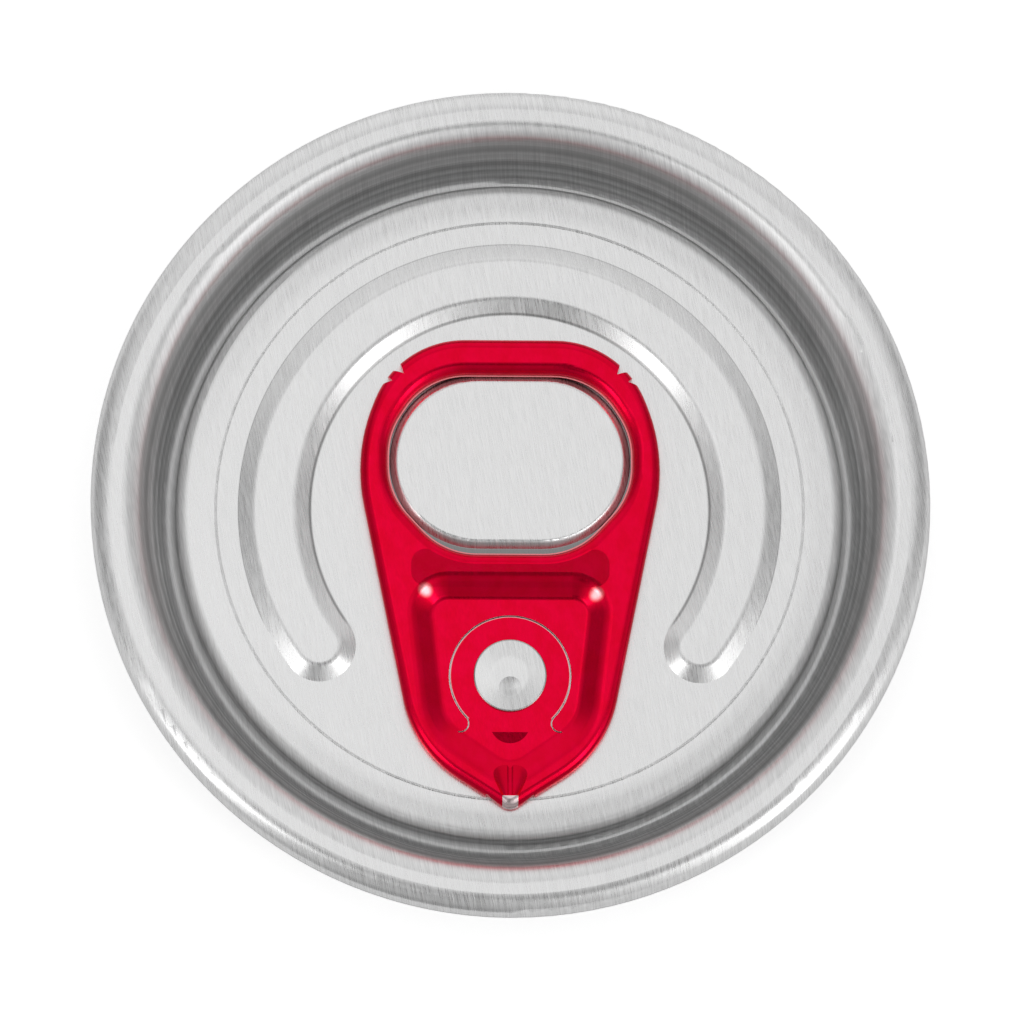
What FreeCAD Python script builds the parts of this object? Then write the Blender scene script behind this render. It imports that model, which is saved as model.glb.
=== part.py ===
import FreeCAD, Part
import math
import os

# Full aperture can end with a riveted ring-pull tab, as stamped and before it is seamed
# onto a can. Millimetres, +Z up. The origin is on the end's axis, in the plane of the
# lowest point, the bottom of the countersink. The tab's nose points to -Y and its ring
# to +Y. Two pieces: the end, with the rivet formed out of its own panel, and the tab.

V = FreeCAD.Vector
UP = V(0, 0, 1)

# ---- the end: one stamped sheet ----
SHEET = 0.24                    # sheet thickness
END_RADIUS = 29.72              # outside of the curl
END_HEIGHT = 6.86               # countersink depth, curl top to countersink bottom
CURL_HEIGHT = 2.0               # curl top to the lowest point of the curl
CURL_LIP = 0.9                  # how far the curl's edge turns back inwards
CURL_TURN_RADIUS = 0.45         # centreline bend at the bottom of the curl
CURL_SHOULDER = 0.85            # the slope between the crown and the curl's widest level,
CURL_SHOULDER_DROP = 0.60       # as its run inwards and its drop from the crown
CURL_SHOULDER_RADIUS = 0.9
CROWN_RADIUS = 1.6              # outer bend of the crown
SEAMING_PANEL_RADIUS = 1.3      # bend from the crown into the chuck wall
CHUCK_WALL_ANGLE = 14.0         # from the vertical, in degrees
COUNTERSINK_RADIUS = 24.33      # middle of the groove's flat bottom
COUNTERSINK_FLAT = 0.20         # flat land that the end stands on
COUNTERSINK_BEND = 0.50         # centreline bend at each side of the land
PANEL_HEIGHT = 2.40             # top of the panel above the countersink bottom
PANEL_BEND = 0.60               # centreline bend from the panel wall into the panel
PANEL_EDGE_RADIUS = 21.70       # the panel slopes down from here to its bend
PANEL_EDGE_DROP = 0.12
PANEL_EDGE_ROUND = 12.0

# ---- the score that the panel tears along ----
SCORE_RADIUS = 20.96
SCORE_WIDTH = 0.20
SCORE_DEPTH = 0.11

# ---- the horseshoe bead, raised, open towards the nose ----
BEAD_RADIUS = 16.78             # middle of the band
BEAD_HALF_WIDTH = 2.58          # at the foot
BEAD_WALL_RUN = 1.15            # horizontal run of its sloped wall
BEAD_HEIGHT = 0.45
BEAD_SHOULDER = 0.9             # rounding of the wall's top
BEAD_OPEN_ANGLE = 53.6          # from -Y to the centre of each round end, in degrees

# ---- the raised pad under the finger hole ----
PAD_CENTRE_Y = 3.45
PAD_HALF_LENGTH = 8.60          # along X, at the foot
PAD_HALF_WIDTH = 6.35           # along Y, at the foot
PAD_WALL_RUN = 0.55
PAD_HEIGHT = 0.30
PAD_SHOULDER = 0.35

# ---- the rivet, formed out of the panel ----
RIVET_Y = -12.15
BOSS_FOOT_RADIUS = 3.9          # low cone that lifts the tab's tongue off the panel
BOSS_TOP_RADIUS = 3.0
BOSS_HEIGHT = 0.20
SHANK_RADIUS = 1.60
SHANK_BORE = 1.22               # the rivet is hollow from below
HEAD_RADIUS = 2.60
HEAD_EDGE = 0.26                # height of the head at its edge
HEAD_CROWN = 0.10               # the head's swelling above its edge
HEAD_ROUND = 0.12
DIMPLE_Y = -13.05               # a shallow dent, off the head's middle
DIMPLE_RADIUS = 0.80
DIMPLE_DEPTH = 0.09

# ---- the tab ----
TAB_SHEET = 0.30
TAB_HEIGHT = 1.15               # thickness over the rolled edges
TAB_CLEARANCE = 0.10            # under the rolled edges, above the panel
SHANK_CLEARANCE = 0.05          # radial, round the rivet's shank
ROLL_WIDTH = 1.10               # of the rolled outer edge, seen from below
ROLL_UPPER_RADIUS = 0.70
ROLL_LOWER_RADIUS = 0.35
TAB_TOP_Y = 12.18
TAB_TOP_HALF = 7.90             # corners of the outline before they are rounded
TAB_HALF_WIDTH = 10.69
TAB_CORNER_Y = 5.20
TAB_WAIST_Y = 1.39
TAB_SIDE_ANGLE = 11.5           # taper of each straight side, in degrees
TAB_CHIN_Y = -17.55             # where the side meets the nose line
TAB_NOSE_Y = -21.89             # where the two nose lines would meet
TAB_TOP_ROUND = 6.9
TAB_CORNER_ROUND = 12.8
TAB_WAIST_ROUND = 12.8
TAB_CHIN_ROUND = 8.6
TAB_NOSE_ROUND = 0.9

# ---- the finger hole ----
HOLE_CENTRE_Y = 3.11
HOLE_HALF_LENGTH = 8.63
HOLE_HALF_WIDTH = 6.44
HOLE_TOP_HALF = 5.92            # corners of its upper and lower sides, before rounding
HOLE_BOTTOM_HALF = 4.67
HOLE_SIDE_LOW = -2.12            # ends of its straight sides, from its centre
HOLE_SIDE_HIGH = 2.24
HOLE_ROUND = 5.2
HOLE_TOP_EDGE = 0.80            # rounding of its flange, above
HOLE_LIP = 0.10                 # the flange's cut edge, turned in towards the hole
HOLE_LIP_HEIGHT = 0.30
HOLE_LIP_ROUND = 0.12

# ---- the sunk web, the tongue and the nose ----
WEB_TOP_Y = -6.50
WEB_TOP_HALF = 5.75
WEB_CHIN_Y = -15.45
WEB_CHIN_HALF = 4.70
WEB_POINT_Y = -18.70
WEB_TOP_ROUND = 1.2
WEB_CHIN_ROUND = 3.1
WEB_POINT_ROUND = 1.6
WEB_WALL_RUN = 1.35             # horizontal run of the wall round the floor
WEB_RIM_ROUND = 1.4
WEB_FLOOR_ROUND = 0.8
TONGUE_RADIUS = 4.30            # round the rivet
SLIT_WIDTH = 0.10
SLIT_END_ANGLE = -43.9          # where the slit turns into its hook, round the rivet from +X
HOOK_RADIUS = 0.62
HOOK_TURN = 145.0               # degrees of arc from the slit to the hook's end
COIN_MARK_DROP = 4.03           # flat top of the coined mark, below the rivet
COIN_MARK_HALF = 1.28
COIN_MARK_LENGTH = 0.80
COIN_MARK_DEPTH = 0.02          # at its flat top; its floor slopes down from there
COIN_MARK_SLOPE = 8.0           # in degrees
NOSE_SOLID_Y = -18.20           # the sheet is folded together beyond here
VALLEY_START_Y = -17.90         # the trough that runs from the web out along the nose
VALLEY_END_Y = -20.78
VALLEY_START_HALF = 1.90        # half its width at the top, and its depth, at both ends
VALLEY_START_DEPTH = 0.74
VALLEY_END_HALF = 0.62
VALLEY_END_DEPTH = 0.34
RIB_RADIUS = 0.30               # the fine fold along the trough's bottom
RIB_HEIGHT = 0.10
# Two nicks on each side, where the tab was parted from its strip: the bottom of each and
# the two points where it meets the outline.
NOTCHES = (((7.62, 9.58), (7.80, 10.20), (8.19, 9.78)),
           ((8.42, 9.05), (8.68, 9.34), (8.94, 8.92)))
NOTCH_REACH = 1.9               # how far a nick's cutter runs out, in depths of the nick
# Beside its tip the nose's roll is sheared off along the line between the first two points.
NOSE_SHEAR = ((1.75, -20.62), (0.55, -21.58), (1.75, -22.30))

# ---- worked out ----
TOP_OF_BOSS = PANEL_HEIGHT + BOSS_HEIGHT
TOP_OF_TONGUE = TOP_OF_BOSS + TAB_SHEET
TOP_OF_HEAD = TOP_OF_TONGUE + HEAD_EDGE + HEAD_CROWN
TAB_BOTTOM = PANEL_HEIGHT + TAB_CLEARANCE
TAB_TOP = TAB_BOTTOM + TAB_HEIGHT
THROUGH = 5.0                   # how far a cutter runs past what it cuts


# ---------------------------------------------------------------- outlines
def unit(a, b):
    length = math.hypot(b[0] - a[0], b[1] - a[1])
    return ((b[0] - a[0]) / length, (b[1] - a[1]) / length)


def offset_path(corners, distance, closed):
    """Moves every side of a path to its left by distance, and keeps its rounds concentric."""
    count = len(corners)
    moved = []
    for i, (x, y, radius) in enumerate(corners):
        before = unit(corners[i - 1], (x, y)) if closed or i > 0 else None
        after = unit((x, y), corners[(i + 1) % count]) if closed or i < count - 1 else None
        before = before or after
        after = after or before
        turn = before[0] * after[1] - before[1] * after[0]
        scale = distance / (1 + before[0] * after[0] + before[1] * after[1])
        shift_x = -(before[1] + after[1]) * scale
        shift_y = (before[0] + after[0]) * scale
        new_radius = radius - math.copysign(distance, turn * distance) if radius else 0
        moved.append((x + shift_x, y + shift_y, new_radius))
    return moved


def rounded_edges(corners, closed, place):
    """Straight edges and tangent arcs through the corners (first, second, radius)."""
    count = len(corners)
    legs = []
    for i, (x, y, radius) in enumerate(corners):
        if radius <= 0 or (not closed and i in (0, count - 1)):
            legs.append(((x, y), None, (x, y)))
            continue
        before = unit(corners[i - 1], (x, y))
        after = unit((x, y), corners[(i + 1) % count])
        turn = math.acos(max(-1.0, min(1.0, before[0] * after[0] + before[1] * after[1])))
        reach = radius * math.tan(turn / 2)
        start = (x - before[0] * reach, y - before[1] * reach)
        end = (x + after[0] * reach, y + after[1] * reach)
        inward = unit((x, y), ((start[0] + end[0]) / 2, (start[1] + end[1]) / 2))
        depth = radius / math.cos(turn / 2) - radius
        middle = (x + inward[0] * depth, y + inward[1] * depth)
        legs.append((start, middle, end))
    edges = []
    for i, (start, middle, end) in enumerate(legs):
        if middle:
            edges.append(Part.Arc(place(start), place(middle), place(end)).toShape())
        if i < count - 1 or closed:
            following = legs[(i + 1) % count][0]
            if math.hypot(following[0] - end[0], following[1] - end[1]) > 1e-6:
                edges.append(Part.LineSegment(place(end), place(following)).toShape())
    return edges


def flat_wire(corners, z):
    return Part.Wire(rounded_edges(corners, True, lambda p: V(p[0], p[1], z)))


def prism(corners, z_low, z_high):
    return Part.Face(flat_wire(corners, z_low)).extrude(V(0, 0, z_high - z_low))


def mirrored(right_half):
    """A closed outline, anticlockwise, from the right half given from the bottom up."""
    left_half = [(-x, y, radius) for x, y, radius in reversed(right_half) if x > 0]
    return right_half + left_half


def section_face(corners):
    """A closed section in the XZ plane."""
    return Part.Face(Part.Wire(rounded_edges(corners, True, lambda p: V(p[0], 0, p[1]))))


def turned(corners, centre=V(0, 0, 0), angle=360.0):
    face = section_face(corners)
    face.translate(centre)
    return face.revolve(centre, UP, angle)


# ---------------------------------------------------------------- the end
def end_centreline():
    half = SHEET / 2
    wall_slope = math.tan(math.radians(CHUCK_WALL_ANGLE))
    bottom = half
    crown = END_HEIGHT - half
    outside = END_RADIUS - half
    curl_bottom = END_HEIGHT - CURL_HEIGHT + half
    wall_turn = math.radians(90 - CHUCK_WALL_ANGLE)
    groove_outer = COUNTERSINK_RADIUS + COUNTERSINK_FLAT / 2 + COUNTERSINK_BEND * math.tan(wall_turn / 2)
    groove_inner = COUNTERSINK_RADIUS - COUNTERSINK_FLAT / 2 - COUNTERSINK_BEND
    wall_top = groove_outer + (crown - bottom) * wall_slope
    panel = PANEL_HEIGHT - half
    return [
        (outside - CURL_LIP, curl_bottom, 0),
        (outside, curl_bottom, CURL_TURN_RADIUS),
        (outside, crown - CURL_SHOULDER_DROP, CURL_SHOULDER_RADIUS),
        (outside - CURL_SHOULDER, crown, CROWN_RADIUS),
        (wall_top, crown, SEAMING_PANEL_RADIUS),
        (groove_outer, bottom, COUNTERSINK_BEND),
        (groove_inner, bottom, COUNTERSINK_BEND),
        (groove_inner, panel - PANEL_EDGE_DROP, PANEL_BEND),
        (PANEL_EDGE_RADIUS, panel, PANEL_EDGE_ROUND),
        (0, panel, 0),
    ]


def end_sheet():
    centreline = end_centreline()
    place = lambda p: V(p[0], 0, p[1])
    sides = [rounded_edges(offset_path(centreline, d, False), False, place) for d in (SHEET / 2, -SHEET / 2)]
    starts = [side[0].Vertexes[0].Point for side in sides]
    ends = [side[-1].Vertexes[-1].Point for side in sides]
    caps = [Part.LineSegment(*pair).toShape() for pair in (starts, ends)]
    outline = Part.Wire(Part.__sortEdges__(sides[0] + sides[1] + caps))
    return Part.Face(outline).revolve(V(0, 0, 0), UP, 360)


def raised_section(half_width, wall_run, height, shoulder, skin):
    """Half of a raised form's section, from its middle outwards: (distance, z, round).

    skin is 0 for the upper surface and the sheet's thickness for the hollow below it.
    """
    slope = math.atan2(height, wall_run)
    base = PANEL_HEIGHT - skin
    foot = half_width - skin * math.tan(slope / 2)
    below = base - (SHEET if skin else SHEET / 2)
    return [(0, below, 0), (foot, below, 0), (foot, base, 0),
            (foot - wall_run, base + height, max(shoulder - skin, 0.05)), (0, base + height, 0)]


def round_end(section, centre, start_angle):
    cap = turned(section, V(0, 0, 0), 180)
    cap.rotate(V(0, 0, 0), UP, start_angle)
    cap.translate(centre)
    return cap


def whole_section(section):
    right = section[1:-1]
    left = [(-x, z, radius) for x, z, radius in reversed(right)]
    return right + left


def horseshoe(skin):
    section = raised_section(BEAD_HALF_WIDTH, BEAD_WALL_RUN, BEAD_HEIGHT, BEAD_SHOULDER, skin)
    band_section = [(x + BEAD_RADIUS, z, radius) for x, z, radius in whole_section(section)]
    start = -90 + BEAD_OPEN_ANGLE
    sweep = 360 - 2 * BEAD_OPEN_ANGLE
    band = turned(band_section, V(0, 0, 0), sweep)
    band.rotate(V(0, 0, 0), UP, start)
    ends = []
    for side, turn in ((1, 180), (-1, 0)):
        angle = -90 + side * BEAD_OPEN_ANGLE
        place = V(math.cos(math.radians(angle)), math.sin(math.radians(angle)), 0) * BEAD_RADIUS
        ends.append(round_end(section, place, angle + turn))
    return band.fuse(ends)


def finger_pad(skin):
    section = raised_section(PAD_HALF_WIDTH, PAD_WALL_RUN, PAD_HEIGHT, PAD_SHOULDER, skin)
    straight = PAD_HALF_LENGTH - PAD_HALF_WIDTH
    bar = section_face(whole_section(section)).extrude(V(0, 2 * straight, 0))
    bar.rotate(V(0, 0, 0), UP, 90)
    bar.translate(V(straight, PAD_CENTRE_Y, 0))
    ends = [round_end(section, V(side * straight, PAD_CENTRE_Y, 0), -side * 90) for side in (1, -1)]
    return bar.fuse(ends)


def bowl(half, depth):
    """Radius of the round that is this deep over this half width."""
    return (half ** 2 + depth ** 2) / (2 * depth)


def rivet():
    section = [
        (0, PANEL_HEIGHT - SHEET / 2, 0),
        (BOSS_FOOT_RADIUS, PANEL_HEIGHT - SHEET / 2, 0),
        (BOSS_FOOT_RADIUS, PANEL_HEIGHT, 0),
        (BOSS_TOP_RADIUS, TOP_OF_BOSS, 0),
        (SHANK_RADIUS, TOP_OF_BOSS, 0),
        (SHANK_RADIUS, TOP_OF_TONGUE, 0),
        (HEAD_RADIUS, TOP_OF_TONGUE, 0),
        (HEAD_RADIUS, TOP_OF_HEAD - HEAD_CROWN, HEAD_ROUND),
        (HEAD_RADIUS / 2, TOP_OF_HEAD, HEAD_RADIUS),
        (0, TOP_OF_HEAD, 0),
    ]
    radius = bowl(DIMPLE_RADIUS, DIMPLE_DEPTH)
    dimple = Part.makeSphere(radius, V(0, DIMPLE_Y, TOP_OF_HEAD + radius - DIMPLE_DEPTH))
    return turned(section, V(0, RIVET_Y, 0)).cut(dimple)


def rivet_hollow():
    underside = PANEL_HEIGHT - SHEET
    section = [
        (0, underside - THROUGH / 10, 0),
        (BOSS_FOOT_RADIUS, underside - THROUGH / 10, 0),
        (BOSS_FOOT_RADIUS, underside, 0),
        (BOSS_TOP_RADIUS, TOP_OF_BOSS - SHEET, 0),
        (SHANK_BORE, TOP_OF_BOSS - SHEET, 0),
        (SHANK_BORE, TOP_OF_TONGUE + HEAD_CROWN, SHANK_BORE / 4),
        (0, TOP_OF_TONGUE + HEAD_CROWN, 0),
    ]
    return turned(section, V(0, RIVET_Y, 0))


def score_cutter():
    half = SCORE_WIDTH / 2
    section = [(SCORE_RADIUS - half, PANEL_HEIGHT + SCORE_DEPTH, 0), (SCORE_RADIUS - half, PANEL_HEIGHT, 0),
               (SCORE_RADIUS, PANEL_HEIGHT - SCORE_DEPTH, 0), (SCORE_RADIUS + half, PANEL_HEIGHT, 0),
               (SCORE_RADIUS + half, PANEL_HEIGHT + SCORE_DEPTH, 0)]
    return turned(section)


def can_end():
    raised = end_sheet().fuse([horseshoe(0), finger_pad(0), rivet()])
    return raised.cut([horseshoe(SHEET), finger_pad(SHEET), rivet_hollow(), score_cutter()])


# ---------------------------------------------------------------- the tab
def chin_half_width():
    taper = math.tan(math.radians(TAB_SIDE_ANGLE))
    return TAB_HALF_WIDTH - taper * (TAB_WAIST_Y - TAB_CHIN_Y)


def tab_outline():
    return mirrored([
        (0, TAB_NOSE_Y, TAB_NOSE_ROUND),
        (chin_half_width(), TAB_CHIN_Y, TAB_CHIN_ROUND),
        (TAB_HALF_WIDTH, TAB_WAIST_Y, TAB_WAIST_ROUND),
        (TAB_HALF_WIDTH, TAB_CORNER_Y, TAB_CORNER_ROUND),
        (TAB_TOP_HALF, TAB_TOP_Y, TAB_TOP_ROUND),
    ])


def hole_outline():
    low = HOLE_CENTRE_Y - HOLE_HALF_WIDTH
    high = HOLE_CENTRE_Y + HOLE_HALF_WIDTH
    return mirrored([
        (HOLE_BOTTOM_HALF, low, HOLE_ROUND),
        (HOLE_HALF_LENGTH, HOLE_CENTRE_Y + HOLE_SIDE_LOW, HOLE_ROUND),
        (HOLE_HALF_LENGTH, HOLE_CENTRE_Y + HOLE_SIDE_HIGH, HOLE_ROUND),
        (HOLE_TOP_HALF, high, HOLE_ROUND),
    ])


def web_floor_outline():
    return mirrored([
        (0, WEB_POINT_Y, WEB_POINT_ROUND),
        (WEB_CHIN_HALF, WEB_CHIN_Y, WEB_CHIN_ROUND),
        (WEB_TOP_HALF, WEB_TOP_Y, WEB_TOP_ROUND),
    ])


def edges_along(shape, outline, z):
    """The shape's edges that lie along this outline at height z."""
    wire = flat_wire(outline, z)
    found = []
    for edge in shape.Edges:
        middle = edge.valueAt((edge.FirstParameter + edge.LastParameter) / 2)
        if wire.distToShape(Part.Vertex(middle))[0] < 1e-5:
            found.append(edge)
    return found


def tab_blank():
    """The plate with its rolled outer edge and the turned-down flange of the finger hole."""
    plate = prism(tab_outline(), TAB_BOTTOM, TAB_TOP)
    plate = plate.makeFillet(ROLL_UPPER_RADIUS, edges_along(plate, tab_outline(), TAB_TOP))
    plate = plate.makeFillet(ROLL_LOWER_RADIUS, edges_along(plate, tab_outline(), TAB_BOTTOM))
    flange = offset_path(hole_outline(), -HOLE_LIP, True)
    above_lip = prism(flange, TAB_BOTTOM + HOLE_LIP_HEIGHT, TAB_TOP + THROUGH)
    plate = plate.cut([prism(hole_outline(), TAB_BOTTOM - THROUGH, TAB_TOP), above_lip])
    plate = plate.makeFillet(HOLE_TOP_EDGE, edges_along(plate, flange, TAB_TOP))
    return plate.makeFillet(HOLE_LIP_ROUND, edges_along(plate, hole_outline(), TAB_BOTTOM))


def web_sink(grow, floor_z, top_z):
    """The space above the web's floor, with sloped walls, grown sideways by grow."""
    floor = offset_path(web_floor_outline(), -grow, True)
    rim = offset_path(web_floor_outline(), -grow - WEB_WALL_RUN, True)
    return Part.makeLoft([flat_wire(floor, floor_z), flat_wire(rim, top_z)], True, True)


def ring_sector(radius, width, start, end, centre, z_low, z_high):
    section = [(radius - width / 2, z_low, 0), (radius + width / 2, z_low, 0),
               (radius + width / 2, z_high, 0), (radius - width / 2, z_high, 0)]
    sector = turned(section, V(0, 0, 0), end - start)
    sector.rotate(V(0, 0, 0), UP, start)
    sector.translate(centre)
    return sector


def tongue_slit():
    """The C-shaped cut that frees the tongue, with a hook at each end."""
    low = TAB_BOTTOM - THROUGH / 10
    high = TOP_OF_TONGUE + THROUGH / 10
    start, end = SLIT_END_ANGLE, 180 - SLIT_END_ANGLE
    cutters = [ring_sector(TONGUE_RADIUS, SLIT_WIDTH, start, end, V(0, RIVET_Y, 0), low, high)]
    angle = math.radians(SLIT_END_ANGLE)
    away = TONGUE_RADIUS + HOOK_RADIUS
    centre = V(away * math.cos(angle), RIVET_Y + away * math.sin(angle), 0)
    start = SLIT_END_ANGLE + 180
    hook = ring_sector(HOOK_RADIUS, SLIT_WIDTH, start, start + HOOK_TURN, centre, low, high)
    return cutters + [hook, hook.mirror(V(0, 0, 0), V(1, 0, 0))]


def coin_mark():
    """The D-shaped mark across the tongue's root, where it bends."""
    radius = bowl(COIN_MARK_HALF, COIN_MARK_LENGTH)
    top = RIVET_Y - COIN_MARK_DROP
    floor = TOP_OF_TONGUE - COIN_MARK_DEPTH
    disc = Part.makeCylinder(radius, TAB_SHEET, V(0, top - COIN_MARK_LENGTH + radius, floor))
    keep = Part.makeBox(4 * radius, 4 * radius, 2 * TAB_SHEET, V(-2 * radius, top, floor - TAB_SHEET / 2))
    mark = disc.cut(keep)
    mark.rotate(V(0, top, floor), V(1, 0, 0), COIN_MARK_SLOPE)
    return mark


def upright_cone(places, tops, radii):
    """A round bar that tapers along Y; tops are the heights of its axis at the two places."""
    rings = [Part.Wire(Part.Circle(V(0, y, z), V(0, 1, 0), radius).toShape())
             for y, z, radius in zip(places, tops, radii)]
    return Part.makeLoft(rings, True, True)


def nose_trough():
    """The trough that runs from the web out to the nose, less the fine fold along its bottom."""
    places = (VALLEY_START_Y, VALLEY_END_Y)
    depths = (VALLEY_START_DEPTH, VALLEY_END_DEPTH)
    radii = (bowl(VALLEY_START_HALF, VALLEY_START_DEPTH), bowl(VALLEY_END_HALF, VALLEY_END_DEPTH))
    trough = upright_cone(places, [TAB_TOP - d + r for d, r in zip(depths, radii)], radii)
    fold_tops = [TAB_TOP - d + RIB_HEIGHT - RIB_RADIUS for d in depths]
    return trough.cut(upright_cone(places, fold_tops, (RIB_RADIUS, RIB_RADIUS)))


def edge_cuts():
    """The nicks where the tab was parted from its strip, and the shears beside its nose."""
    cuts = [prism([(x, y, 0) for x, y in NOSE_SHEAR], TAB_BOTTOM - THROUGH, TAB_TOP + THROUGH)]
    for bottom, first, second in NOTCHES:
        reached = [(bottom[0] + (x - bottom[0]) * NOTCH_REACH, bottom[1] + (y - bottom[1]) * NOTCH_REACH, 0)
                   for x, y in (first, second)]
        cuts.append(prism([(bottom[0], bottom[1], 0)] + reached, TAB_BOTTOM - THROUGH, TAB_TOP + THROUGH))
    return cuts + [cut.mirror(V(0, 0, 0), V(1, 0, 0)) for cut in cuts]


def underside_hollow():
    """The room under the plate, between the rolled edges and the sunk web."""
    ceiling = TAB_TOP - TAB_SHEET
    low = TAB_BOTTOM - THROUGH
    room = prism(offset_path(tab_outline(), ROLL_WIDTH, True), low, ceiling)
    flange = prism(offset_path(hole_outline(), -HOLE_TOP_EDGE - TAB_SHEET / 2, True), low, TAB_TOP)
    web = web_sink(TAB_SHEET, TOP_OF_BOSS, TAB_TOP - TAB_SHEET / 2)
    below_web = prism(offset_path(web_floor_outline(), -TAB_SHEET, True), low, TOP_OF_BOSS)
    nose_corner = V(-TAB_HALF_WIDTH, NOSE_SOLID_Y + TAB_NOSE_Y, low)
    nose = Part.makeBox(2 * TAB_HALF_WIDTH, -TAB_NOSE_Y, 2 * THROUGH, nose_corner)
    return room.cut([flange, web, below_web, nose])


def tab():
    blank = tab_blank()
    blank = blank.cut(web_sink(0, TOP_OF_TONGUE, TAB_TOP))
    rim = offset_path(web_floor_outline(), -WEB_WALL_RUN, True)
    blank = blank.makeFillet(WEB_RIM_ROUND, edges_along(blank, rim, TAB_TOP))
    blank = blank.makeFillet(WEB_FLOOR_ROUND, edges_along(blank, web_floor_outline(), TOP_OF_TONGUE))
    below_floor = prism(web_floor_outline(), TAB_BOTTOM - THROUGH, TOP_OF_BOSS)
    shank = Part.makeCylinder(SHANK_RADIUS + SHANK_CLEARANCE, 2 * THROUGH, V(0, RIVET_Y, 0))
    cutters = [below_floor, shank, coin_mark(), nose_trough(), underside_hollow()]
    return blank.cut(cutters + tongue_slit() + edge_cuts())


# ---------------------------------------------------------------- files
def single_solid(shape, name):
    solids = shape.Solids
    if len(solids) != 1 or not solids[0].isValid():
        raise ValueError(name + ": " + str(len(solids)) + " solids")
    return solids[0]


os.makedirs("parts", exist_ok=True)
for name, make in (("can_end", can_end), ("tab", tab)):
    solid = single_solid(make(), name)
    solid.exportStep("parts/" + name + ".step")
    print(name, round(solid.Volume, 3), "mm3,", len(solid.Faces), "faces")
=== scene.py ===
import math

import bpy
from mathutils import Matrix, Vector

MM = 0.001


# ---------------------------------------------------------------- shader helpers
class Nodes:
    """A short way to add and link shader nodes."""

    def __init__(self, tree):
        self.tree = tree
        tree.nodes.clear()

    def add(self, kind, inputs=None, **settings):
        node = self.tree.nodes.new(kind)
        for key, value in settings.items():
            setattr(node, key, value)
        for key, value in (inputs or {}).items():
            self.give(node.inputs[key], value)
        return node

    def give(self, socket, value):
        if isinstance(value, bpy.types.NodeSocket):
            self.tree.links.new(value, socket)
        else:
            socket.default_value = value

    def math(self, operation, a, b=0.0):
        return self.add("ShaderNodeMath", {0: a, 1: b}, operation=operation).outputs[0]

    def product(self, first, *others):
        for other in others:
            first = self.math("MULTIPLY", first, other)
        return first

    def largest(self, first, *others):
        for other in others:
            first = self.math("MAXIMUM", first, other)
        return first

    def off(self, value, middle):
        """How far a value is from a middle one."""
        return self.math("ABSOLUTE", self.math("SUBTRACT", value, middle))

    def length(self, x, y):
        return self.math("SQRT", self.math("ADD", self.math("POWER", x, 2), self.math("POWER", y, 2)))

    def vector(self, operation, a, b=(0, 0, 0)):
        node = self.add("ShaderNodeVectorMath", {0: a, 1: b}, operation=operation)
        return node.outputs["Value" if operation in ("DOT_PRODUCT", "DISTANCE", "LENGTH") else "Vector"]

    def ramp(self, value, low, high, to_low=0.0, to_high=1.0):
        return self.add("ShaderNodeMapRange", {"Value": value, "From Min": low, "From Max": high,
                                               "To Min": to_low, "To Max": to_high},
                        interpolation_type="SMOOTHSTEP").outputs["Result"]

    def mixed_colour(self, factor, a, b):
        return self.add("ShaderNodeMix", {"Factor": factor, "A": a, "B": b}, data_type="RGBA").outputs[2]

    def place(self, height=1):
        """Where a point is on the part, in millimetres, with this share of its height."""
        metres = self.add("ShaderNodeTexCoord").outputs["Object"]
        return self.vector("MULTIPLY", metres, (1 / MM, 1 / MM, height / MM))

    def parts(self, vector):
        return self.add("ShaderNodeSeparateXYZ", {"Vector": vector}).outputs

    def normal(self):
        return self.add("ShaderNodeNewGeometry").outputs["Normal"]


def new_material(name):
    material = bpy.data.materials.new(name)
    material.use_nodes = True
    return material, Nodes(material.node_tree)


def grey(level):
    return (level, level, level, 1)


# ---------------------------------------------------------------- grain
GRAIN_ANGLE = math.radians(11.0)        # the sheet's rolling direction, from +Y towards -X
GRAIN_HEIGHT = 0.02                     # the share of the height that the grain follows
GRAIN_DETAIL = 2.0
GRAIN_ROUGHNESS = 0.6
NOISE_RANGE = (0.3, 0.7)                # the noise between these is spread over a whole range


def grain_coordinates(nodes):
    """Object coordinates turned so that the rolling direction is along Y. Height hardly counts, so
    that streaks run over the pressed forms as they would in the flat sheet."""
    place = nodes.add("ShaderNodeTexCoord").outputs["Object"]
    turned = nodes.add("ShaderNodeMapping", {"Vector": place, "Rotation": (0, 0, -GRAIN_ANGLE)})
    return nodes.vector("MULTIPLY", turned.outputs["Vector"], (1, 1, GRAIN_HEIGHT))


def grain(nodes, coordinates, across, along):
    """Noise drawn out along the rolling direction, in streaks of these sizes in millimetres."""
    per_across, per_along = 1 / (across * MM), 1 / (along * MM)
    scaled = nodes.vector("MULTIPLY", coordinates, (per_across, per_along, per_along))
    return nodes.add("ShaderNodeTexNoise", {"Vector": scaled, "Scale": 1.0, "Detail": GRAIN_DETAIL,
                                            "Roughness": GRAIN_ROUGHNESS}).outputs["Fac"]


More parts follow.
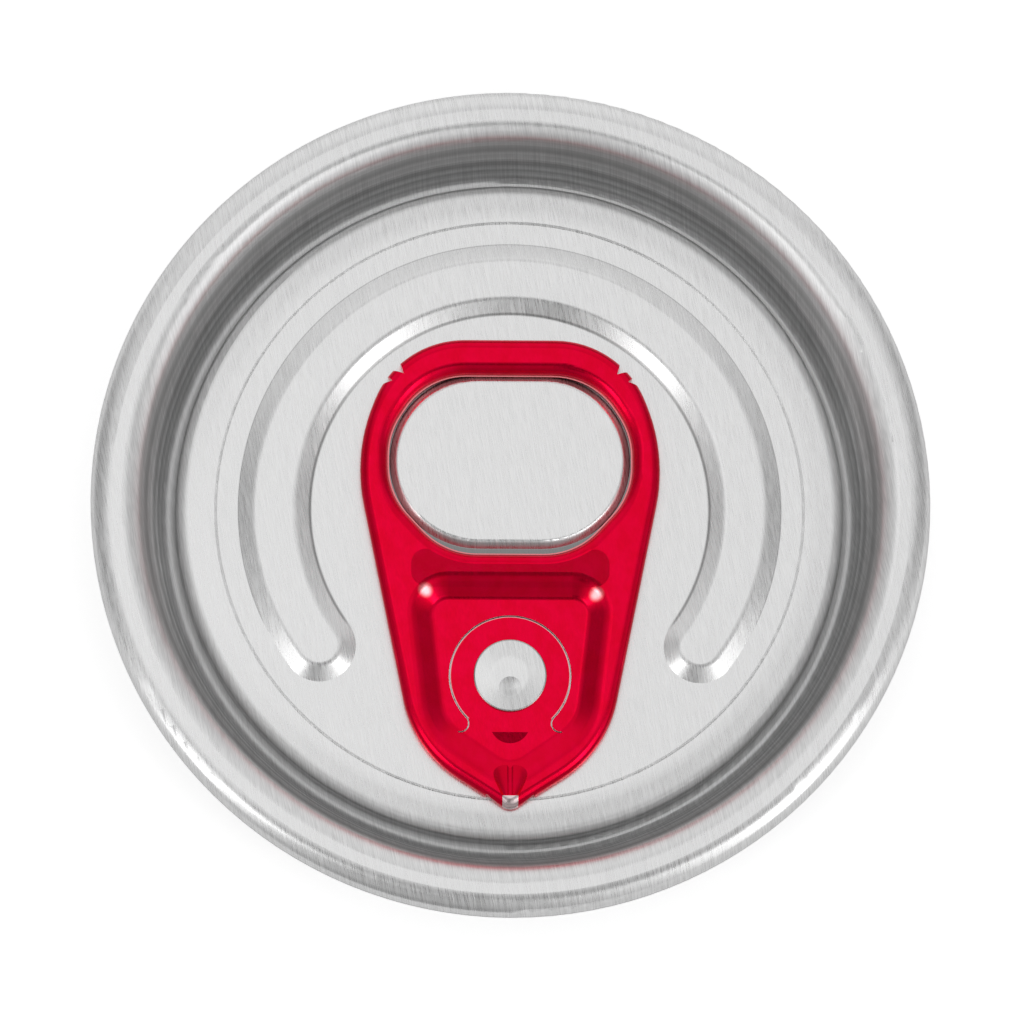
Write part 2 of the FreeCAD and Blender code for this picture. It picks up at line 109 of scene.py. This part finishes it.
# ---------------------------------------------------------------- shades painted on the metal
# These shades stand for reflections and shadows of one studio, tuned for the likeness.
# They are not known differences in the real sheet, they stay where they are under any other
# light, and a scene with a light of its own is better off without them. Radii, heights and
# places are in millimetres, and a share is how much of the light is sent back.
WALL_INSIDE = (22.9, 23.4)              # the chuck wall, with the countersink at its foot
WALL_OUTSIDE = (26.6, 27.4)
WALL_TOP = (5.9, 6.5)
WALL_SHARE = 0.80
WALL_STREAKS = 0.16                     # how far the wall's round streaks go either side of that
WALL_STREAK_SCALE = 1.6
WALL_ROUGHER = 0.19
ROUND_LINE = (25.4, 25.8, 26.0, 26.6)   # a line over the round above the wall: start, full, full, end
ROUND_SHARE = 0.66
PAD_CENTRE_Y = 3.45                     # the finger pad's slope, and the flat panel round it
PAD_STRAIGHT = 2.25
PAD_EDGE = (5.84, 6.02)
PAD_FADE = (7.3, 7.8)
PAD_SHARE = 0.55
BAND_EDGE = (6.25, 6.45)                # darker again from the pad's foot outwards
BAND_SHARE = 0.55
BEAD_FEET = ((14.24, 0.20, 0.50), (19.36, 0.07, 0.66))     # radius, half the width, share
BEAD_OPEN_Y = (-9.2, -7.6)              # where the lines at the bead's feet fade out
RIVET = (0.0, -12.15)
HEAD_LINE_RADIUS = 2.53                 # the outline of the rivet's head, just inside its edge
HEAD_LINE_HALF_WIDTH = 0.10
HEAD_LINE_SHARE = 0.62
DIMPLE_SHADOW = (-0.05, -13.25)         # a little nearer the nose than the dimple itself
DIMPLE_REACH = 0.85
DIMPLE_SHARE = 0.76


def wall_shade(nodes, radius, height):
    """How much light comes back from the chuck wall, and from all else that lies outside its
    radius and below its top, on both faces, with streaks round it. 1 elsewhere."""
    around = nodes.add("ShaderNodeCombineXYZ", {"X": nodes.product(radius, WALL_STREAK_SCALE),
                                                "Z": nodes.product(height, WALL_STREAK_SCALE)})
    streaks = nodes.add("ShaderNodeTexNoise", {"Vector": around.outputs[0], "Scale": 1.0,
                                               "Detail": GRAIN_DETAIL}).outputs["Fac"]
    share = nodes.ramp(streaks, *NOISE_RANGE, WALL_SHARE - WALL_STREAKS, WALL_SHARE + WALL_STREAKS)
    wall = nodes.product(nodes.ramp(radius, *WALL_INSIDE), nodes.ramp(height, *WALL_TOP, 1.0, 0.0))
    return nodes.add("ShaderNodeMix", {"Factor": wall, "A": 1.0, "B": share}).outputs[0]


def round_pad(nodes, parts, outer):
    """1 from the finger pad's upper edge outwards, and 1 from its foot outwards, till both fade
    out on the flat panel."""
    along = nodes.largest(nodes.math("SUBTRACT", nodes.math("ABSOLUTE", parts["X"]), PAD_STRAIGHT), 0.0)
    pad = nodes.length(along, nodes.math("SUBTRACT", parts["Y"], PAD_CENTRE_Y))
    slope = nodes.product(nodes.ramp(pad, *PAD_EDGE), nodes.ramp(pad, *PAD_FADE, 1.0, 0.0), outer)
    return slope, nodes.product(slope, nodes.ramp(pad, *BAND_EDGE))


def painted_shade(nodes):
    """How much light the metal sends back, 1 where nothing is painted."""
    parts = nodes.parts(nodes.place())
    radius = nodes.length(parts["X"], parts["Y"])
    outer = nodes.math("GREATER_THAN", nodes.parts(nodes.normal())["Z"], 0.0)

    def from_point(x, y):
        return nodes.length(nodes.math("SUBTRACT", parts["X"], x), nodes.math("SUBTRACT", parts["Y"], y))

    def line(distance, half_width, where):
        return nodes.product(nodes.ramp(distance, 0.0, half_width, 1.0, 0.0), where)

    slope, band = round_pad(nodes, parts, outer)
    start, full, faded, end = ROUND_LINE
    round_line = nodes.product(nodes.ramp(radius, start, full), nodes.ramp(radius, faded, end, 1.0, 0.0))
    painted = [(slope, PAD_SHARE), (band, BAND_SHARE), (round_line, ROUND_SHARE)]
    beside_nose = nodes.product(nodes.ramp(parts["Y"], *BEAD_OPEN_Y), outer)
    for foot, half_width, share in BEAD_FEET:
        painted.append((line(nodes.off(radius, foot), half_width, beside_nose), share))
    from_head_line = nodes.off(from_point(*RIVET), HEAD_LINE_RADIUS)
    painted.append((line(from_head_line, HEAD_LINE_HALF_WIDTH, outer), HEAD_LINE_SHARE))
    painted.append((line(from_point(*DIMPLE_SHADOW), DIMPLE_REACH, outer), DIMPLE_SHARE))

    shade = wall_shade(nodes, radius, parts["Z"])
    for mask, share in painted:
        shade = nodes.product(shade, nodes.ramp(mask, 0.0, 1.0, 1.0, share))
    return shade


def wall_and_round(nodes):
    """1 over the radii of the chuck wall and of the round above it, 0 on the panel and the curl."""
    radius = nodes.vector("LENGTH", nodes.place(height=0))
    return nodes.product(nodes.ramp(radius, *WALL_INSIDE), nodes.ramp(radius, *WALL_OUTSIDE, 1.0, 0.0))


# ---------------------------------------------------------------- the rolled metal
METAL_STREAKS = ((0.06, 1.5, 0.7), (0.20, 5.0, 0.3))       # across, along, share of the grain
METAL_ROUGHNESS = (0.24, 0.36)
METAL_COLOURS = (grey(0.79), grey(0.98))
METAL_COLOUR_RANGE = (0.36, 0.64)
METAL_BUMP = (0.8, 0.005)               # strength, and depth in millimetres
METAL_ANISOTROPY = 0.5


def rolled_aluminium(name):
    material, nodes = new_material(name)
    coordinates = grain_coordinates(nodes)
    fine, broad = (nodes.product(grain(nodes, coordinates, across, along), share)
                   for across, along, share in METAL_STREAKS)
    mixed = nodes.math("ADD", fine, broad)
    rough = nodes.math("ADD", nodes.product(wall_and_round(nodes), WALL_ROUGHER),
                       nodes.ramp(mixed, *NOISE_RANGE, *METAL_ROUGHNESS))
    tint = nodes.mixed_colour(nodes.ramp(mixed, *METAL_COLOUR_RANGE), *METAL_COLOURS)
    colour = nodes.add("ShaderNodeVectorMath", {0: tint, "Scale": painted_shade(nodes)}, operation="SCALE")
    strength, depth = METAL_BUMP
    bump = nodes.add("ShaderNodeBump", {"Height": mixed, "Strength": strength, "Distance": depth * MM})
    across = nodes.add("ShaderNodeCombineXYZ", {"X": math.cos(GRAIN_ANGLE), "Y": math.sin(GRAIN_ANGLE),
                                                "Z": 0.0})
    surface = nodes.add("ShaderNodeBsdfPrincipled", {
        "Base Color": colour.outputs["Vector"], "Metallic": 1.0, "Roughness": rough,
        "Anisotropic": METAL_ANISOTROPY, "Normal": bump.outputs["Normal"],
        "Tangent": across.outputs["Vector"]})
    nodes.add("ShaderNodeOutputMaterial", {"Surface": surface.outputs["BSDF"]})
    return material


# ---------------------------------------------------------------- the tab's bare metal
# Where bare metal shows, in millimetres as the tab is built: the cut edges of the slit round
# the tongue, of the slit's hooks and of the finger hole's flange, and the tip of the nose.
SLIT_RADIUS = 4.30
SLIT_HALF_WIDTH = 0.056
SLIT_END_ANGLE = math.radians(-43.9)
HOOK_RADIUS = 0.62
CUT_SHARE = 0.75
EDGE_HALF_WIDTH = 0.045                 # the slit's inner edge, seen from above
EDGE_LOW_Y = -15.2
EDGE_SHARE = 0.5
HOLE_CENTRE_Y = 3.11
LIP_TOP = 2.815
LIP_REACH = (8.9, 6.7)
LIP_SHARE = 0.30
TIP_CENTRE_Y = -21.32
TIP_HALF = (0.56, 0.50)
TIP_LOW = 2.95
TIP_SHARE = 0.82
UPRIGHT = 0.5                           # a face is upright when its normal rises less than this


def bare_places(nodes):
    """How much of the colour is bare metal, 0 where the tab is lacquered."""
    parts = nodes.parts(nodes.place())
    across = nodes.math("ABSOLUTE", parts["X"])

    def on_circle(x, y, radius, half_width=SLIT_HALF_WIDTH):
        distance = nodes.length(nodes.math("SUBTRACT", across, x), nodes.math("SUBTRACT", parts["Y"], y))
        return nodes.math("LESS_THAN", nodes.off(distance, radius), half_width)

    def in_box(centre_y, half):
        return nodes.product(nodes.math("LESS_THAN", across, half[0]),
                             nodes.math("LESS_THAN", nodes.off(parts["Y"], centre_y), half[1]))

    rise = nodes.math("ABSOLUTE", nodes.parts(nodes.normal())["Z"])
    upright = nodes.math("LESS_THAN", rise, UPRIGHT)
    away = SLIT_RADIUS + HOOK_RADIUS
    slit = on_circle(*RIVET, SLIT_RADIUS)
    hooks = on_circle(RIVET[0] + away * math.cos(SLIT_END_ANGLE),
                      RIVET[1] + away * math.sin(SLIT_END_ANGLE), HOOK_RADIUS)
    cut = nodes.product(nodes.largest(slit, hooks), nodes.product(upright, CUT_SHARE))
    edge = nodes.product(on_circle(*RIVET, SLIT_RADIUS - SLIT_HALF_WIDTH, EDGE_HALF_WIDTH),
                         nodes.math("GREATER_THAN", parts["Y"], EDGE_LOW_Y), EDGE_SHARE)
    lip = nodes.product(in_box(HOLE_CENTRE_Y, LIP_REACH), nodes.math("LESS_THAN", parts["Z"], LIP_TOP),
                        LIP_SHARE)
    tip = nodes.product(in_box(TIP_CENTRE_Y, TIP_HALF), nodes.math("GREATER_THAN", parts["Z"], TIP_LOW),
                        TIP_SHARE)
    return nodes.largest(cut, lip, edge, tip)


# ---------------------------------------------------------------- likeness painted on the lacquer
# Two pale spots at the upper corners of the sunk web, which stand for highlights. In millimetres.
PALE_SPOTS = ((-6.02, -6.10), (6.12, -6.35))
SPOT_REACH = (0.15, 0.62)
SPOT_SHARE = 0.55


def painted_highlights(nodes):
    """How much painted highlight the lacquer gets, 0 away from the spots."""
    place = nodes.place(height=0)
    share = 0.0
    for x, y in PALE_SPOTS:
        share = nodes.math("ADD", nodes.ramp(nodes.vector("DISTANCE", place, (x, y, 0)), *SPOT_REACH,
                                             SPOT_SHARE, 0.0), share)
    return share


# A patch on the bar, between the roll round the finger hole and the sunk web, has its normal
# leant towards the nose, so that it mirrors a darker part of the studio. It stands for a dark
# patch that may be only a reflection, and the real bar may be flat. In millimetres, and the
# lean as a share of the normal.
BAR_CENTRE_Y = -4.5
BAR_HALF = (7.1, 1.4)
BAR_CORNER = 1.1
BAR_SOFT = 0.1
BAR_LEAN = 0.095
ROLL_STRAIGHT = 2.19
ROLL_FOOT = (6.92, 7.02)


def leant_bar(nodes):
    """The tab's normal, leant towards the nose on the bar's patch."""
    parts = nodes.parts(nodes.place())
    across = nodes.math("ABSOLUTE", parts["X"])

    def outside(value, limit):
        return nodes.largest(nodes.math("SUBTRACT", value, limit), 0.0)

    corner = nodes.length(outside(across, BAR_HALF[0] - BAR_CORNER),
                          outside(nodes.off(parts["Y"], BAR_CENTRE_Y), BAR_HALF[1] - BAR_CORNER))
    roll = nodes.length(outside(across, ROLL_STRAIGHT), nodes.math("SUBTRACT", parts["Y"], HOLE_CENTRE_Y))
    patch = nodes.product(nodes.ramp(corner, BAR_CORNER - BAR_SOFT, BAR_CORNER, 1.0, 0.0),
                          nodes.ramp(roll, *ROLL_FOOT))
    lean = nodes.add("ShaderNodeCombineXYZ", {"Y": nodes.product(patch, -BAR_LEAN)}).outputs[0]
    return nodes.vector("NORMALIZE", nodes.vector("ADD", nodes.normal(), lean))


# ---------------------------------------------------------------- the lacquer
LACQUER_FLECKS = (0.10, 0.5)            # across and along, in millimetres
LACQUER_CLOUDS = (1.2, 1.6)
LACQUER_COLOURS = ((0.83, 0.0, 0.028, 1), (0.90, 0.0, 0.040, 1))
LACQUER_ROUGHNESS = (0.21, 0.27)
LACQUER_BUMP = (0.12, 0.01)             # strength, and depth in millimetres
COAT_WEIGHT = 0.05
COAT_ROUGHNESS = 0.12
# the colour of the painted highlights at the upper corners of the sunk web
PAINTED_HIGHLIGHT_COLOUR = (0.95, 0.72, 0.74, 1)
BARE_COLOUR = grey(0.88)


def red_lacquer(name):
    material, nodes = new_material(name)
    coordinates = grain_coordinates(nodes)
    flecks = grain(nodes, coordinates, *LACQUER_FLECKS)
    clouds = grain(nodes, coordinates, *LACQUER_CLOUDS)
    red = nodes.mixed_colour(nodes.ramp(clouds, *NOISE_RANGE), *LACQUER_COLOURS)
    # the painted highlights mixed into the red
    highlighted = nodes.mixed_colour(painted_highlights(nodes), red, PAINTED_HIGHLIGHT_COLOUR)
    colour = nodes.mixed_colour(bare_places(nodes), highlighted, BARE_COLOUR)
    strength, depth = LACQUER_BUMP
    bump = nodes.add("ShaderNodeBump", {"Height": clouds, "Normal": leant_bar(nodes),
                                        "Strength": strength, "Distance": depth * MM})
    surface = nodes.add("ShaderNodeBsdfPrincipled", {
        "Base Color": colour, "Metallic": 1.0,
        "Roughness": nodes.ramp(flecks, *NOISE_RANGE, *LACQUER_ROUGHNESS),
        "Normal": bump.outputs["Normal"], "Coat Weight": COAT_WEIGHT, "Coat Roughness": COAT_ROUGHNESS})
    nodes.add("ShaderNodeOutputMaterial", {"Surface": surface.outputs["BSDF"]})
    return material


# ---------------------------------------------------------------- studio
# The studio, as its even level and the soft lights and dark flags that stand round it: the
# direction they are in (azimuth from +X, elevation), the angle from their middle to their
# faded edge, in degrees, and their strength, below nought for a flag. They were placed and
# tuned for the likeness, and are no record of a real room.
ROOM_LEVEL = 0.61
LIGHTS_AND_FLAGS = (
    (-35, 35, 11, 2.1),
    (-31, 52, 9, 3.0),
    (-45, 22, 50, 0.20),
    (-151, 35, 11, 1.7),
    (-148, 52, 9, 3.0),
    (-146, 34, 45, 0.16),
    (93, 20, 57, 0.17),
    (92, 80, 26, -0.04),
    (3, 46, 24, -0.18),
    (177, 46, 24, -0.18),
    (140, 80, 14, 0.60),
    (45, 74, 14, 0.24),
    (-98, 78, 20, -0.48),
    (-108, 55, 13, -0.45),
    (-97, 9, 60, -0.36),
    (23, 14, 30, -0.26),
    (167, 14, 38, -0.28),
)
BRIGHT_SHARE = 0.25                     # of that angle, the evenly bright middle
WHITE = grey(1)


def direction(azimuth, elevation):
    a, e = math.radians(azimuth), math.radians(elevation)
    return (math.cos(a) * math.cos(e), math.sin(a) * math.cos(e), math.sin(e))


def studio_world():
    """The studio, white to the camera. Both pieces are lit by what they mirror, so mirrored rays
    see the studio and not the white."""
    world = bpy.data.worlds.new("studio")
    world.use_nodes = True
    bpy.context.scene.world = world
    nodes = Nodes(world.node_tree)
    way = nodes.add("ShaderNodeTexCoord").outputs["Generated"]
    level = ROOM_LEVEL
    for azimuth, elevation, reach, strength in LIGHTS_AND_FLAGS:
        towards = nodes.vector("DOT_PRODUCT", way, direction(azimuth, elevation))
        edge, middle = (math.cos(math.radians(reach * share)) for share in (1, BRIGHT_SHARE))
        level = nodes.math("ADD", nodes.ramp(towards, edge, middle, 0.0, strength), level)
    lit = nodes.add("ShaderNodeBackground", {"Color": WHITE, "Strength": level})
    white = nodes.add("ShaderNodeBackground", {"Color": WHITE, "Strength": 1.0})
    seen = nodes.add("ShaderNodeLightPath").outputs["Is Camera Ray"]
    both = nodes.add("ShaderNodeMixShader", {0: seen, 1: lit.outputs[0], 2: white.outputs[0]})
    nodes.add("ShaderNodeOutputWorld", {"Surface": both.outputs[0]})


FLOOR_SIZE = 3                          # in metres
FLOOR_BELOW = 0.01                      # the gap under the part, in millimetres
FLOOR_COLOUR = grey(0.62)
FLOOR_SEEN = 0.69                       # added to the lit paper, so that it reads as white
FLOOR_MIRRORED = 0.25                   # added to it in mirrored and bent rays


def white_floor():
    """Paper that keeps the part's shadow, and is clear to a camera below it."""
    bpy.ops.mesh.primitive_plane_add(size=FLOOR_SIZE, location=(0, 0, -FLOOR_BELOW * MM))
    floor = bpy.context.object
    floor.name = "floor"
    material, nodes = new_material("floor_white")
    paper = nodes.add("ShaderNodeBsdfDiffuse", {"Color": FLOOR_COLOUR})
    path = nodes.add("ShaderNodeLightPath").outputs
    mirrored = nodes.largest(path["Is Glossy Ray"], path["Is Transmission Ray"])
    glow = nodes.math("ADD", nodes.product(path["Is Camera Ray"], FLOOR_SEEN),
                      nodes.product(mirrored, FLOOR_MIRRORED))
    light = nodes.add("ShaderNodeEmission", {"Color": WHITE, "Strength": glow})
    lit = nodes.add("ShaderNodeAddShader", {0: paper.outputs[0], 1: light.outputs[0]})
    back = nodes.add("ShaderNodeNewGeometry").outputs["Backfacing"]
    from_below = nodes.product(back, path["Is Camera Ray"])
    clear = nodes.add("ShaderNodeBsdfTransparent")
    both = nodes.add("ShaderNodeMixShader", {0: from_below, 1: lit.outputs[0], 2: clear.outputs[0]})
    nodes.add("ShaderNodeOutputMaterial", {"Surface": both.outputs[0]})
    floor.data.materials.append(material)


# The camera looks down on the end from 11 degrees off its axis, a little to the left of the
# nose, and is rolled so that the tab stands upright.
CAMERA_AIM = Vector((0.12, -0.43, 3.42)) * MM
CAMERA_TILT = math.radians(11.3)
CAMERA_AZIMUTH = math.radians(-8.35)
CAMERA_ROLL = math.radians(8.51)
CAMERA_DISTANCE = 430 * MM
CAMERA_LENS = 212.6                     # lens and sensor in millimetres
CAMERA_SENSOR = 36
CAMERA_CLIP = (0.01, 10)                # in metres


def camera():
    data = bpy.data.cameras.new("camera")
    data.sensor_width = CAMERA_SENSOR
    data.lens = CAMERA_LENS
    data.clip_start, data.clip_end = CAMERA_CLIP
    eye = bpy.data.objects.new("camera", data)
    bpy.context.collection.objects.link(eye)
    turn = Matrix.Rotation(CAMERA_AZIMUTH, 4, "Z") @ Matrix.Rotation(CAMERA_TILT, 4, "X")
    turn = turn @ Matrix.Rotation(CAMERA_ROLL, 4, "Z")
    eye.matrix_world = Matrix.Translation(CAMERA_AIM) @ turn @ Matrix.Translation((0, 0, CAMERA_DISTANCE))
    bpy.context.scene.camera = eye


# ---------------------------------------------------------------- the scene
def dress(node, material):
    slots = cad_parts[node].data.materials
    slots.clear()
    slots.append(material)


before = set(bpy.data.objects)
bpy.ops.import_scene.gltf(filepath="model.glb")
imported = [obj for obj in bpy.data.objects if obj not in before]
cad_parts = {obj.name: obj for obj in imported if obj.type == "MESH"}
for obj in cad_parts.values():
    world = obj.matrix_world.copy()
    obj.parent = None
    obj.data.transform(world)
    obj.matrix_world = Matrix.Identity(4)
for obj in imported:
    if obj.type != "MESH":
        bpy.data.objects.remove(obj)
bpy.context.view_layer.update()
bpy.context.scene.view_settings.view_transform = "Standard"

dress("can_end", rolled_aluminium("bare_aluminium"))
dress("tab", red_lacquer("red_lacquer"))

studio_world()
white_floor()
camera()
